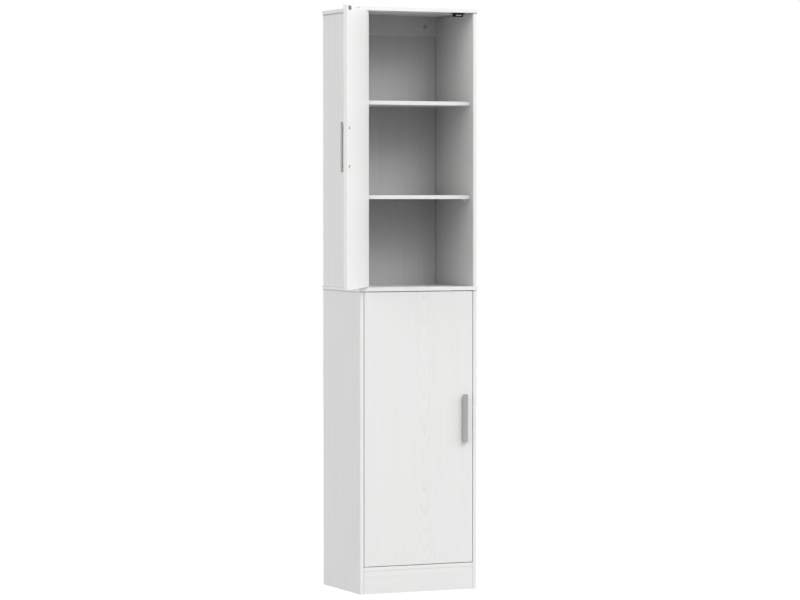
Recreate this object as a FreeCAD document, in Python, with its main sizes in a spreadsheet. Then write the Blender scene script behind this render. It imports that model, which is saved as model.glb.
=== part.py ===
import FreeCAD, Part
import os
import math
import Sketcher

# Tall two-door cabinet in 12 mm white board.
# Frame: X = 0 on the middle plane, Y = 0 on the front plane of the doors and
# side panels with +Y to the back, Z = 0 on the floor. Millimetres.

V = FreeCAD.Vector
os.makedirs("parts", exist_ok=True)
doc = FreeCAD.newDocument("TallCabinet")
sheet = doc.addObject("Spreadsheet::Sheet", "Sizes")


class Q:
    """A size: its number now, and the formula over the sheet's cells."""

    def __init__(self, value, expr=None):
        self.v = float(value)
        self.e = expr if expr is not None else repr(float(value))

    def _two(self, other, sign, value):
        return Q(value, "(%s %s %s)" % (self.e, sign, other.e))

    def __add__(self, o):
        o = q(o)
        return self._two(o, "+", self.v + o.v)

    def __radd__(self, o):
        return q(o) + self

    def __sub__(self, o):
        o = q(o)
        return self._two(o, "-", self.v - o.v)

    def __rsub__(self, o):
        return q(o) - self

    def __mul__(self, o):
        o = q(o)
        return self._two(o, "*", self.v * o.v)

    def __rmul__(self, o):
        return q(o) * self

    def __truediv__(self, o):
        o = q(o)
        return self._two(o, "/", self.v / o.v)

    def __neg__(self):
        return q(0) - self


def q(x):
    return x if isinstance(x, Q) else Q(x)


rows = [0]


def size(alias, value, note):
    rows[0] += 1
    sheet.set("A%d" % rows[0], note)
    sheet.set("B%d" % rows[0], repr(value))
    sheet.setAlias("B%d" % rows[0], alias)
    return Q(value, "Sizes." + alias)


# ---------------------------------------------------------------- the sizes
width = size("width", 400.0, "over the side panels")
depth = size("depth", 300.0, "front plane to rear edges")
board = size("board", 12.0, "board thickness")
lap_side = size("lap_side", 3.0, "top and middle panel beyond each side")
lap_front = size("lap_front", 2.0, "top and middle panel beyond the front plane")
plinth_z = size("plinth_high", 72.0, "plinth height")
opening = size("opening_high", 862.0, "clear height of each compartment")
gap = size("door_gap", 2.0, "gap round each door")
edge_r = size("edge_round", 0.8, "rounding of the board edges")
open_deg = size("upper_open", 123.3, "opening of the upper door as modelled, degrees")
pivot_in = size("pivot_inset", 10.0, "pivot axis from the door's hinge edge")
slack = size("fit_slack", 0.05, "radial clearance of pins and inserts")
back_y = size("back_front", 286.0, "front face of the back panels")
back_t = size("back_thick", 3.0, "back panel thickness")
groove_d = size("groove_deep", 4.0, "depth of the back panel grooves")
groove_s = size("groove_slack", 0.1, "play of the back panel in its groove, each face")
rail_high = size("rail_high", 64.0, "height of the rail under the top")
rail_y = size("rail_front", 281.0, "front face of the rail")
shelf_y = size("shelf_front", 23.0, "front edge of the shelves")
shelf_back = size("shelf_rear", 284.0, "rear edge of the shelves")
shelf_a = size("shelf_low_up", 276.0, "underside of the lower shelf above its compartment's floor")
shelf_b = size("shelf_high_up", 571.0, "underside of the upper shelf above its compartment's floor")
shelf_gap = size("shelf_gap", 1.0, "play at each end of a shelf")
peg_r = size("peg_radius", 2.5, "shelf peg")
peg_len = size("peg_length", 16.0, "shelf peg")
peg_f = size("peg_front", 60.0, "front shelf pegs behind the front plane")
peg_b = size("peg_rear", 240.0, "rear shelf pegs behind the front plane")
dowel_r = size("dowel_radius", 3.0, "wooden dowel")
dowel_len = size("dowel_length", 30.0, "wooden dowel")
shallow = size("dowel_shallow", 8.2, "dowel hole in a board's face")
deep = size("dowel_deep", 22.2, "dowel hole in a board's edge")
cam_r = size("cam_radius", 7.5, "cam lock")
cam_t = size("cam_thick", 9.0, "cam lock")
cam_hole = size("cam_pocket", 9.5, "depth of the cam's pocket")
cam_in = size("cam_inset", 34.0, "cam centre from the board's end")
rail_cam = size("rail_cam_inset", 40.0, "cam centre from the rail's end")
thread_r = size("bolt_thread", 2.5, "cam bolt thread")
thread_len = size("bolt_thread_long", 8.0, "cam bolt thread in the board")
way_r = size("bolt_way", 3.5, "radius of the bolt's way to the cam")
screw_r = size("screw_radius", 2.0, "carcass screw shank")
screw_len = size("screw_length", 40.0, "carcass screw")
screw_head = size("screw_head", 3.9, "carcass screw head radius")
cap_r = size("cap_radius", 5.0, "cover cap over a screw in the top")
cap_t = size("cap_thick", 2.05, "cover cap")
pin_r = size("pin_radius", 2.0, "door pivot pin")
pin_in = size("pin_in_door", 20.0, "pivot pin length inside the door")
pin_out = size("pin_beyond_gap", 4.6, "pivot pin length inside the bush")
collar_t = size("collar_thick", 1.1, "pivot pin collar")
bush_r = size("bush_radius", 4.0, "pivot bush body")
bush_len = size("bush_length", 5.0, "pivot bush body")
bush_fr = size("bush_flange", 5.5, "pivot bush flange radius")
bush_ft = size("bush_flange_thick", 0.8, "pivot bush flange")
pull_in = size("pull_inset", 29.0, "pull's centre line from the door's free edge")
pull_w = size("pull_wide", 16.5, "pull bar width")
pull_t = size("pull_thick", 7.0, "pull bar thickness")
pull_out = size("pull_out", 14.0, "pull's reach in front of the door")
pull_len = size("pull_length", 152.0, "pull bar length")
pull_half = size("pull_screw_half", 58.0, "half the spacing of the pull's screws")
pull_up = size("pull_upper_z", 431.0, "pull's middle above the upper door's bottom")
pull_lo = size("pull_lower_z", 457.0, "pull's middle above the lower door's bottom")
post_w = size("post_wide", 9.0, "pull's leg")
post_t = size("post_thick", 8.0, "pull's leg")
pull_scr = size("pull_screw", 2.0, "pull screw shank radius")
pull_scr_len = size("pull_screw_length", 22.0, "pull screw under its head")
pull_head = size("pull_screw_head", 4.0, "pull screw head radius")
pull_head_t = size("pull_screw_head_thick", 2.6, "pull screw head")
catch_x = size("catch_inset", 42.0, "catch's middle from the door's free edge")
catch_y = size("catch_front", 14.0, "front face of the catch housing")
catch_half = size("catch_half", 23.5, "half the length over the catch's ears")
catch_body = size("catch_body_half", 15.0, "half the length of the catch's body")
catch_deep = size("catch_deep", 14.0, "catch body, front to back")
catch_high = size("catch_high", 12.5, "catch body height")
ear_t = size("ear_thick", 2.5, "catch ear thickness")
ear_x = size("ear_hole", 19.1, "catch screw from the catch's middle")
plate_t = size("pole_thick", 0.9, "pole plate thickness")
magnet_t = size("magnet_thick", 1.6, "magnet thickness")
magnet_half = size("magnet_half", 9.8, "half the magnet's length")
pole_top = size("pole_top", 6.0, "first pole plate below the board")
strike_half = size("strike_half", 20.0, "half the strike plate's length")
strike_high = size("strike_high", 12.0, "strike plate height")
strike_t = size("strike_thick", 1.2, "strike plate thickness")
strike_dn = size("strike_down", 7.0, "strike plate's middle below the door's top")
doc.recompute()

# ------------------------------------------------------------ derived sizes
zero = q(0)
half = width / 2
inner = half - board                      # inner face of the side panels
mid_x = half - board / 2                  # middle of a side panel's thickness
floor_z = plinth_z + board                # floor of the lower compartment
mid_z = floor_z + opening                 # underside of the middle panel
up_z = mid_z + board                      # floor of the upper compartment
top_z = up_z + opening                    # underside of the top panel
door_w = 2 * inner - 2 * gap
door_h = opening - 2 * gap
pivot_x = -(inner - gap - pivot_in)
pivot_y = board / 2
free_x = door_w - pivot_in                # free edge, from the pivot
made = {}                                 # label -> exported object


def numbers(*qs):
    return [x.v for x in qs]


def plane(body, role):
    for f in body.Origin.OriginFeatures:
        if f.Role == role:
            return f
    raise RuntimeError("no plane " + role)


class Piece:
    """A PartDesign body, drawn in its own frame, which is parallel to the
    cabinet's when spin is zero."""

    def __init__(self, label, at=(0, 0, 0), spin=None):
        self.label = label
        self.body = doc.addObject("PartDesign::Body", label)
        self.body.Label = label
        self.n = 0
        self.lo = self.hi = None
        at = [q(a) for a in at]
        rot = FreeCAD.Rotation()
        if spin is not None:
            rot = FreeCAD.Rotation(V(0, 0, -1), spin.v)
        self.body.Placement = FreeCAD.Placement(V(*numbers(*at)), rot)
        for axis, a in zip("xyz", at):
            self.body.setExpression("Placement.Base." + axis, a.e)
        if spin is not None:
            self.body.setExpression("Placement.Rotation.Angle", spin.e)
        made[label] = self.body

    def volume(self):
        return self.body.Shape.Volume if not self.body.Shape.isNull() else 0.0

    def sketch(self, role, off):
        self.n += 1
        sk = self.body.newObject("Sketcher::SketchObject", "%s_sk%d" % (self.label, self.n))
        sk.AttachmentSupport = [(plane(self.body, role), "")]
        sk.MapMode = "FlatFace"
        sk.AttachmentOffset = FreeCAD.Placement(V(0, 0, off.v), FreeCAD.Rotation())
        sk.setExpression("AttachmentOffset.Base.z", off.e)
        return sk

    def rect(self, sk, u0, v0, u1, v1):
        u0, v0, u1, v1 = [q(x) for x in (u0, v0, u1, v1)]
        c = [V(u0.v, v0.v, 0), V(u1.v, v0.v, 0), V(u1.v, v1.v, 0), V(u0.v, v1.v, 0)]
        g = [sk.addGeometry(Part.LineSegment(c[i], c[(i + 1) % 4])) for i in range(4)]
        C = Sketcher.Constraint
        for i in range(4):
            sk.addConstraint(C("Coincident", g[i], 2, g[(i + 1) % 4], 1))
        sk.addConstraint(C("Horizontal", g[0]))
        sk.addConstraint(C("Horizontal", g[2]))
        sk.addConstraint(C("Vertical", g[1]))
        sk.addConstraint(C("Vertical", g[3]))
        self.pin(sk, g[0], 1, u0, v0)
        self.pin(sk, g[1], 2, u1, v1)

    def pin(self, sk, g, end, u, v):
        for kind, val in (("DistanceX", u), ("DistanceY", v)):
            i = sk.addConstraint(Sketcher.Constraint(kind, -1, 1, g, end, val.v))
            sk.setExpression("Constraints[%d]" % i, val.e)

    def circle(self, sk, u, v, r):
        u, v, r = q(u), q(v), q(r)
        g = sk.addGeometry(Part.Circle(V(u.v, v.v, 0), V(0, 0, 1), r.v))
        i = sk.addConstraint(Sketcher.Constraint("Radius", g, r.v))
        sk.setExpression("Constraints[%d]" % i, r.e)
        self.pin(sk, g, 3, u, v)

    def pad(self, sk, length, back=False, grow=None):
        length = q(length)
        before = self.volume()
        p = self.body.newObject("PartDesign::Pad", "%s_pad%d" % (self.label, self.n))
        p.Profile = sk
        p.Length = length.v
        p.setExpression("Length", length.e)
        p.Reversed = back
        sk.Visibility = False
        doc.recompute()
        if self.volume() <= before + 1e-6:
            raise RuntimeError("pad adds nothing: " + p.Name)
        return p

    def block(self, lo, hi):
        """The piece's board or block, from corner lo to corner hi."""
        self.lo = [q(x) for x in lo]
        self.hi = [q(x) for x in hi]
        sk = self.sketch("XY_Plane", self.lo[2])
        self.rect(sk, self.lo[0], self.lo[1], self.hi[0], self.hi[1])
        return self.pad(sk, self.hi[2] - self.lo[2])

    def soften(self, base, radius, pick):
        """Round the edges of base whose middle point pick accepts."""
        names = []
        for i, e in enumerate(base.Shape.Edges):
            p = e.valueAt((e.FirstParameter + e.LastParameter) / 2)
            if pick(p):
                names.append("Edge%d" % (i + 1))
        if not names:
            raise RuntimeError("no edge to round on " + self.label)
        f = self.body.newObject("PartDesign::Fillet", "%s_round%d" % (self.label, self.n))
        f.Base = (base, names)
        f.Radius = radius.v
        f.setExpression("Radius", radius.e)
        doc.recompute()
        return f

    def face(self, name):
        """Sketch plane, offset and cut direction for a face of the block."""
        lo, hi = self.lo, self.hi
        return {
            "+z": ("XY_Plane", hi[2], -1, False),
            "-z": ("XY_Plane", lo[2], 1, True),
            "+x": ("YZ_Plane", hi[0], -1, False),
            "-x": ("YZ_Plane", lo[0], 1, True),
            "-y": ("XZ_Plane", -lo[1], -1, False),
            "+y": ("XZ_Plane", -hi[1], 1, True),
        }[name]

    def cut(self, sk, back, deep_, least, taper=None):
        before = self.volume()
        p = self.body.newObject("PartDesign::Pocket", "%s_cut%d" % (self.label, self.n))
        p.Profile = sk
        if deep_ is None:
            p.Type = "ThroughAll"
        else:
            deep_ = q(deep_)
            p.Length = deep_.v
            p.setExpression("Length", deep_.e)
        p.Reversed = back
        if taper is not None:
            p.TaperAngle = taper
        sk.Visibility = False
        doc.recompute()
        lost = before - self.volume()
        if lost < least:
            raise RuntimeError("%s removes %.3f, expected %.3f" % (p.Name, lost, least))
        return p

    def holes(self, face, radius, deep_, points, sink=0, taper=None):
        """Round holes from a face, sink below it."""
        role, off, inward, back = self.face(face)
        radius = q(radius)
        sk = self.sketch(role, off + inward * q(sink))
        for u, v in points:
            self.circle(sk, u, v, radius)
        d = q(deep_).v if deep_ is not None else 1.0
        least = 0.3 * len(points) * math.pi * radius.v ** 2 * d
        return self.cut(sk, back, deep_, least, taper)

    def slot(self, face, u0, v0, u1, v1, deep_):
        role, off, inward, back = self.face(face)
        sk = self.sketch(role, off)
        self.rect(sk, u0, v0, u1, v1)
        return self.cut(sk, back, deep_, 1.0)

    def discs(self, z0, z1, radius, points):
        """Round bars along Z from z0 to z1."""
        z0, z1 = q(z0), q(z1)
        sk = self.sketch("XY_Plane", z0)
        for u, v in points:
            self.circle(sk, u, v, radius)
        return self.pad(sk, z1 - z0)

    def rods(self, y0, y1, radius, points):
        """Round bars along Y from y0 to y1, centred at (x, z)."""
        y0, y1 = q(y0), q(y1)
        sk = self.sketch("XZ_Plane", -y0)
        for u, v in points:
            self.circle(sk, u, v, radius)
        return self.pad(sk, y1 - y0, back=True)

    def bar(self, y0, y1, u0, v0, u1, v1):
        """A block along Y from y0 to y1, over x u0..u1 and z v0..v1."""
        y0, y1 = q(y0), q(y1)
        sk = self.sketch("XZ_Plane", -y0)
        self.rect(sk, u0, v0, u1, v1)
        return self.pad(sk, y1 - y0, back=True)


def panel(label, lo, hi, at, pick=None, spin=None):
    p = Piece(label, at, spin)
    base = p.block(lo, hi)
    if pick is not None:
        p.soften(base, edge_r, pick)
    return p


def near(a, b):
    return abs(a - b) < 1e-6


# Boards that butt against each other have rounded front arrises, so that each
# joint between them shows as a fine groove.
def both(x, *ys):
    """Mirror image points (-x, y) and (x, y)."""
    return [(s * x, q(y)) for y in ys for s in (-1, 1)]


# ------------------------------------------------------------ carcass boards
screw_y = (30, 262)       # carcass screws, from the front plane
dowel_up_y = (70, 220)    # dowels of the upper side panels
dowel_lo_y = (100, 190)   # dowels from the middle panel down
cam_y = (45, 245)         # cams of the lower side panels and bottom
dowel_bt_y = (90, 200)    # dowels of the bottom panel
pull_x = free_x - pull_in
catch_at = pivot_x + free_x - catch_x     # catch's middle
catch_hole_y = catch_y + 7
screw_hole = screw_r + slack

# Top and middle panels lie on the side panels and lap over them.
lap_lo = (-(half + lap_side), -lap_front, 0)
lap_hi = (half + lap_side, depth, board)

top = panel("top_panel", lap_lo, lap_hi, (0, 0, top_z), lambda p: True)
top.holes("-z", dowel_r + slack, shallow, both(mid_x, *dowel_up_y))
top.holes("+z", cap_r + slack, cap_t + slack, both(mid_x, *screw_y))
top.holes("+z", screw_hole + 1.95, 1.95, both(mid_x, *screw_y), sink=cap_t + slack, taper=-45)
top.holes("+z", screw_hole, None, both(mid_x, *screw_y))
top.holes("-z", bush_r + slack, bush_len + 0.2, [(pivot_x, pivot_y)])
top.holes("-z", 1.45, 10, [(catch_at - ear_x, catch_hole_y), (catch_at + ear_x, catch_hole_y)])

mid = panel("mid_panel", lap_lo, lap_hi, (0, 0, mid_z), lambda p: True)
mid.holes("+z", dowel_r + slack, shallow, both(mid_x, *dowel_up_y))
mid.holes("-z", dowel_r + slack, shallow, both(mid_x, *dowel_lo_y))
mid.holes("-z", thread_r + slack, thread_len + 0.2, both(mid_x, *cam_y))
mid.holes("-z", screw_hole + 1.95, 1.95, both(mid_x, *screw_y), taper=-45)
mid.holes("-z", screw_hole, None, both(mid_x, *screw_y))
mid.holes("-z", bush_r + slack, bush_len + 0.2, [(pivot_x, pivot_y)])
mid.holes("+z", bush_r + slack, bush_len + 0.2, [(pivot_x, pivot_y)])
mid.holes("-z", 1.45, 10, [(catch_at - ear_x, catch_hole_y), (catch_at + ear_x, catch_hole_y)])
for side in ("+z", "-z"):
    mid.slot(side, -(inner + groove_d), back_y - groove_s, inner + groove_d,
             back_y + back_t + groove_s, groove_d)

# Bottom panel between the lower side panels, held by cams from below.
bot = panel("bottom_panel", (-inner, 0, 0), (inner, depth, board), (0, 0, plinth_z),
            lambda p: near(p.y, 0))
for s, side in ((-1, "-x"), (1, "+x")):
    bot.holes(side, dowel_r + slack, deep, [(y, board / 2) for y in dowel_bt_y])
    bot.holes(side, way_r, cam_in, [(y, board / 2) for y in cam_y])
bot.holes("-z", cam_r + slack, cam_hole, both(inner - cam_in, *cam_y))
bot.holes("+z", bush_r + slack, bush_len + 0.2, [(pivot_x, pivot_y)])
bot.slot("+z", -(inner + 1), back_y - groove_s, inner + 1, back_y + back_t + groove_s, groove_d)

# Plinth board between the lower side panels, flush with their front edges.
pl = panel("plinth", (-inner, 0, 0), (inner, board, plinth_z), (0, 0, 0),
           lambda p: near(p.y, 0) and p.z > 1)
for s, side in ((-1, "-x"), (1, "+x")):
    pl.holes(side, dowel_r + slack, deep, [(board / 2, plinth_z / 2 - 20), (board / 2, plinth_z / 2 + 20)])
    pl.holes(side, way_r, cam_in, [(board / 2, plinth_z / 2)])
pl.holes("+y", cam_r + slack, cam_hole, [(-(inner - cam_in), plinth_z / 2), (inner - cam_in, plinth_z / 2)])


def side_panel(label, left, lower):
    """A side panel, drawn from its own outer or inner front bottom corner."""
    long_ = mid_z if lower else opening
    at = (-half if left else inner, 0, 0 if lower else up_z)
    p = panel(label, (0, 0, 0), (board, depth, long_), at, lambda e: near(e.y, 0) and 1 < e.z < long_.v - 1)
    face = "+x" if left else "-x"
    base = floor_z if lower else zero         # compartment floor in this frame
    low = base - groove_d if lower else q(-1)
    high = long_ + 1 if lower else long_ - rail_high + groove_d
    p.slot(face, back_y - groove_s, low, back_y + back_t + groove_s, high, groove_d)
    p.holes(face, peg_r + slack, peg_len / 2 + 0.1,
            [(y, base + z - peg_r) for y in (peg_f, peg_b) for z in (shelf_a, shelf_b)])
    bx = board / 2
    if lower:
        zb = plinth_z + board / 2
        p.holes(face, dowel_r + slack, shallow,
                [(q(y), zb) for y in dowel_bt_y] + [(bx, plinth_z / 2 - 20), (bx, plinth_z / 2 + 20)])
        p.holes(face, thread_r + slack, thread_len + 0.2,
                [(q(y), zb) for y in cam_y] + [(bx, plinth_z / 2)])
        p.holes("+z", dowel_r + slack, deep, [(bx, y) for y in dowel_lo_y])
        p.holes("+z", way_r, cam_in, [(bx, y) for y in cam_y])
        p.holes(face, cam_r + slack, cam_hole, [(q(y), long_ - cam_in) for y in cam_y])
    else:
        ry = rail_y + board / 2
        zr = long_ - rail_high / 2
        p.holes(face, dowel_r + slack, shallow, [(ry, zr - 16), (ry, zr + 16)])
        p.holes(face, thread_r + slack, thread_len + 0.2, [(ry, zr)])
        for end in ("-z", "+z"):
            p.holes(end, dowel_r + slack, deep, [(bx, y) for y in dowel_up_y])
            p.holes(end, screw_hole, 31, [(bx, y) for y in screw_y])
    return p


side_panel("lower_side_left", True, True)
side_panel("lower_side_right", False, True)
side_panel("upper_side_left", True, False)
side_panel("upper_side_right", False, False)

# Rail under the top at the back. Its lower edge is grooved for the back panel.
rail = panel("upper_back_rail", (-inner, 0, 0), (inner, board, rail_high), (0, rail_y, top_z - rail_high),
             lambda p: near(p.y, 0) and near(p.z, 0) and abs(p.x) < 1)
for side in ("-x", "+x"):
    rail.holes(side, dowel_r + slack, deep, [(board / 2, rail_high / 2 - 16), (board / 2, rail_high / 2 + 16)])
    rail.holes(side, way_r, rail_cam, [(board / 2, rail_high / 2)])
rail.holes("-y", cam_r + slack, cam_hole, [(-(inner - rail_cam), rail_high / 2), (inner - rail_cam, rail_high / 2)])
rail.slot("-z", -(inner + 1), back_y - rail_y - groove_s, inner + 1,
          back_y - rail_y + back_t + groove_s, groove_d)

# Thin back panels, slid into the grooves with 0.5 mm left at every edge.
back_half = inner + groove_d - 0.5
panel("lower_back_panel", (-back_half, 0, 0), (back_half, back_t, opening + 2 * groove_d - 1),
      (0, back_y, floor_z - groove_d + 0.5))
panel("upper_back_panel", (-back_half, 0, 0), (back_half, back_t, opening - rail_high + 2 * groove_d - 1),
      (0, back_y, up_z - groove_d + 0.5))

# Four loose shelves, each lying on four pegs.
shelf_half = inner - shelf_gap
for label, z in (("lower_shelf_low", floor_z + shelf_a), ("lower_shelf_high", floor_z + shelf_b),
                 ("upper_shelf_low", up_z + shelf_a), ("upper_shelf_high", up_z + shelf_b)):
    panel(label, (-shelf_half, shelf_y, 0), (shelf_half, shelf_back, board), (0, 0, z),
          lambda p: near(p.y, shelf_y.v))


# --------------------------------------------------------------------- doors
# A door and what is on it are drawn closed, from the pivot axis at the door's
# lower end, and turned about that axis by spin.
def cross(p, y, points, reach, deep_):
    """Cross recess in screw heads, from the plane y towards -Y."""
    for a, b in ((reach, q(0.55)), (q(0.55), reach)):
        sk = p.sketch("XZ_Plane", -q(y))
        for u, v in points:
            p.rect(sk, u - a, v - b, u + a, v + b)
        p.cut(sk, True, deep_, 0.2)


def door(name, z, pull_z, spin):
    at = (pivot_x, pivot_y, z)
    hb = board / 2
    d = panel(name + "_door", (-pivot_in, -hb, 0), (free_x, hb, door_h), at, lambda p: True, spin)
    for end in ("-z", "+z"):
        d.holes(end, pin_r + slack, pin_in + 0.4, [(zero, zero)])
    pts = [(pull_x, pull_z - pull_half), (pull_x, pull_z + pull_half)]
    d.holes("+y", pull_scr + 0.15, None, pts)
    d.holes("+y", 1.5, 9.5, [(free_x - catch_x, door_h - strike_dn)])

    # Pull: a crowned bar on two legs.
    h = Piece(name + "_door_pull", at, spin)
    y_out = -hb - pull_out
    y_in = y_out + pull_t
    crown = q(1.2)
    sk = h.sketch("XY_Plane", pull_z - pull_len / 2)
    x0, x1 = pull_x - pull_w / 2, pull_x + pull_w / 2
    a, b, c, e = V(x0.v, y_in.v, 0), V(x1.v, y_in.v, 0), V(x1.v, (y_out + crown).v, 0), V(x0.v, (y_out + crown).v, 0)
    g = [sk.addGeometry(Part.LineSegment(a, b)), sk.addGeometry(Part.LineSegment(b, c)),
         sk.addGeometry(Part.Arc(c, V(pull_x.v, y_out.v, 0), e)), sk.addGeometry(Part.LineSegment(e, a))]
    C = Sketcher.Constraint
    sk.addConstraint(C("Coincident", g[0], 2, g[1], 1))
    arc_first = 1 if sk.getPoint(g[2], 1).distanceToPoint(c) < 1e-6 else 2
    sk.addConstraint(C("Coincident", g[1], 2, g[2], arc_first))
    sk.addConstraint(C("Coincident", g[2], 3 - arc_first, g[3], 1))
    sk.addConstraint(C("Coincident", g[3], 2, g[0], 1))
    sk.addConstraint(C("Horizontal", g[0]))
    sk.addConstraint(C("Vertical", g[1]))
    sk.addConstraint(C("Vertical", g[3]))
    h.pin(sk, g[0], 1, x0, y_in)
    h.pin(sk, g[1], 2, x1, y_out + crown)
    i = sk.addConstraint(C("DistanceY", g[3], 1, g[3], 2, (pull_t - crown).v))
    sk.setExpression("Constraints[%d]" % i, (pull_t - crown).e)
    r = crown / 2 + pull_w * pull_w / (8 * crown)
    i = sk.addConstraint(C("Radius", g[2], r.v))
    sk.setExpression("Constraints[%d]" % i, r.e)
    base = h.pad(sk, pull_len)
    z0, z1 = (pull_z - pull_len / 2).v, (pull_z + pull_len / 2).v
    h.soften(base, q(1.0), lambda p: p.z < z0 + 1e-6 or p.z > z1 - 1e-6 or p.y < (y_in - 1).v)
    h.n += 1
    sk = h.sketch("XZ_Plane", -y_in + 0.5)
    for _, pz in pts:
        h.rect(sk, pull_x - post_w / 2, pz - post_t / 2, pull_x + post_w / 2, pz + post_t / 2)
    h.pad(sk, -hb - y_in + 0.5, back=True)
    h.lo, h.hi = [x0, y_out, zero], [x1, -hb, zero]
    h.holes("+y", pull_scr + slack, pull_scr_len - board + 1.5, pts)

    # Screws of the pull, with their heads on the door's inner face.
    s = Piece(name + "_pull_screws", at, spin)
    s.rods(hb - pull_scr_len, hb, pull_scr, pts)
    head = s.rods(hb, hb + pull_head_t, pull_head, pts)
    y_top = (hb + pull_head_t).v
    s.soften(head, q(1.1), lambda p: near(p.y, y_top))
    cross(s, hb + pull_head_t, pts, q(2.2), 1.4)

    # Pivot pins, one pressed into each end of the door, with a collar.
    p = Piece(name + "_pivot_pins", at, spin)
    o = [(zero, zero)]
    p.discs(-gap - pin_out, pin_in, pin_r, o)
    p.discs(-collar_t, zero, bush_r, o)
    p.discs(door_h - pin_in, door_h + gap + pin_out, pin_r, o)
    p.discs(door_h, door_h + collar_t, bush_r, o)

    # Strike plate for the catch, near the top of the inner face.
    cx, cz = free_x - catch_x, door_h - strike_dn
    k = Piece(name + "_strike_plate", at, spin)
    base = k.block((cx - strike_half, hb, cz - strike_high / 2), (cx + strike_half, hb + strike_t, cz + strike_high / 2))
    k.soften(base, q(2.5), lambda p: near(p.y, hb.v + strike_t.v / 2))
    k.holes("+y", 2.7, 1.2, [(cx, cz)], taper=-45)
    w = Piece(name + "_strike_screw", at, spin)
    w.rods(hb - 8, hb + 0.1, 1.45, [(cx, cz)])
    sk = w.sketch("XZ_Plane", -(hb + strike_t - 0.05))
    w.circle(sk, cx, cz, 2.6)
    f = w.body.newObject("PartDesign::Pad", name + "_strike_screw_head")
    f.Profile = sk
    f.Length = 1.1
    f.TaperAngle = -45
    sk.Visibility = False
    doc.recompute()
    cross(w, hb + strike_t - 0.05, [(cx, cz)], q(1.5), 0.8)


door("upper", up_z + gap, pull_up, open_deg)
door("lower", floor_z + gap, pull_lo, None)


# -------------------------------------------------------------- magnet catches
def catch(name, z):
    at = (catch_at, catch_y, z)
    c = Piece(name + "_catch_housing", at)
    base = c.block((-catch_half, 1, -ear_t), (catch_half, catch_deep - 1, 0))
    c.soften(base, q(4), lambda p: near(p.z, -ear_t.v / 2))
    c.bar(0, catch_deep, -catch_body, -catch_high, catch_body, 0)
    c.lo, c.hi = [-catch_half, zero, -catch_high], [catch_half, catch_deep, zero]
    c.slot("-y", -(magnet_half + 0.2), -(pole_top + 2 * plate_t + magnet_t + 0.1), magnet_half + 0.2,
           -(pole_top - 0.1), 11.6)
    c.holes("+z", 1.6, None, [(-ear_x, q(7)), (ear_x, q(7))])


catch("upper", top_z)
catch("lower", mid_z)

for label, lo, hi in (("catch_magnets", pole_top + plate_t, pole_top + plate_t + magnet_t),
                      ("catch_pole_plates", None, None)):
    p = Piece(label, (catch_at, catch_y, 0))
    for z in (mid_z, top_z):
        if lo is not None:
            p.bar(-0.1, 11, -magnet_half, z - hi, magnet_half, z - lo)
        else:
            p.bar(-0.5, 11.4, -magnet_half, z - pole_top - plate_t, magnet_half, z - pole_top)
            p.bar(-0.5, 11.4, -magnet_half, z - pole_top - 2 * plate_t - magnet_t, magnet_half,
                  z - pole_top - plate_t - magnet_t)


# -------------------------------------------------- turned and repeated pieces
def turned(name, steps):
    """Solid of revolution on Z: steps of (radius below, radius above, z0, z1)."""
    out = []
    for i, (r0, r1, z0, z1) in enumerate(steps):
        r0, r1, z0, z1 = q(r0), q(r1), q(z0), q(z1)
        if near(r0.v, r1.v):
            o = doc.addObject("Part::Cylinder", "%s_%d" % (name, i))
            o.setExpression("Radius", r0.e)
        else:
            o = doc.addObject("Part::Cone", "%s_%d" % (name, i))
            o.setExpression("Radius1", r0.e)
            o.setExpression("Radius2", r1.e)
        o.setExpression("Height", (z1 - z0).e)
        o.setExpression("Placement.Base.z", z0.e)
        out.append(o)
    if len(out) == 1:
        return out[0]
    f = doc.addObject("Part::MultiFuse", name)
    f.Shapes = out
    f.Refine = True
    return f


def box(name, x0, x1, y0, y1, z0, z1):
    x0, x1, y0, y1, z0, z1 = [q(c) for c in (x0, x1, y0, y1, z0, z1)]
    b = doc.addObject("Part::Box", name)
    b.setExpression("Length", (x1 - x0).e)
    b.setExpression("Width", (y1 - y0).e)
    b.setExpression("Height", (z1 - z0).e)
    for a, c in zip("xyz", (x0, y0, z0)):
        b.setExpression("Placement.Base." + a, c.e)
    return b


def less(name, base, tools):
    for i, tool in enumerate(tools):
        c = doc.addObject("Part::Cut", "%s_less%d" % (name, i))
        c.Base = base
        c.Tool = tool
        base = c
    return base


def turn(z, x=None):
    """Rotation that takes the master's Z to z, and its X to x if given."""
    z = V(*z)
    if x is None:
        return FreeCAD.Rotation(V(0, 0, 1), z)
    x = V(*x)
    return FreeCAD.Rotation(x, z.cross(x), z, "ZXY")


def group(label, master, places):
    """One node of copies of master, each its own solid."""
    links = []
    for i, (at, rot) in enumerate(places):
        ln = doc.addObject("App::Link", "%s_%d" % (label, i))
        ln.LinkedObject = master
        at = [q(c) for c in at]
        ln.Placement = FreeCAD.Placement(V(*numbers(*at)), rot)
        for a, c in zip("xyz", at):
            ln.setExpression("Placement.Base." + a, c.e)
        links.append(ln)
    c = doc.addObject("Part::Compound", label)
    c.Label = label
    c.Links = links
    made[label] = c


UP, DOWN, LEFT, RIGHT, BACK, FRONT = (0, 0, 1), (0, 0, -1), (-1, 0, 0), (1, 0, 0), (0, 1, 0), (0, -1, 0)
sides = ((-1, RIGHT), (1, LEFT))          # side of the cabinet, and the way to the middle

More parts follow.
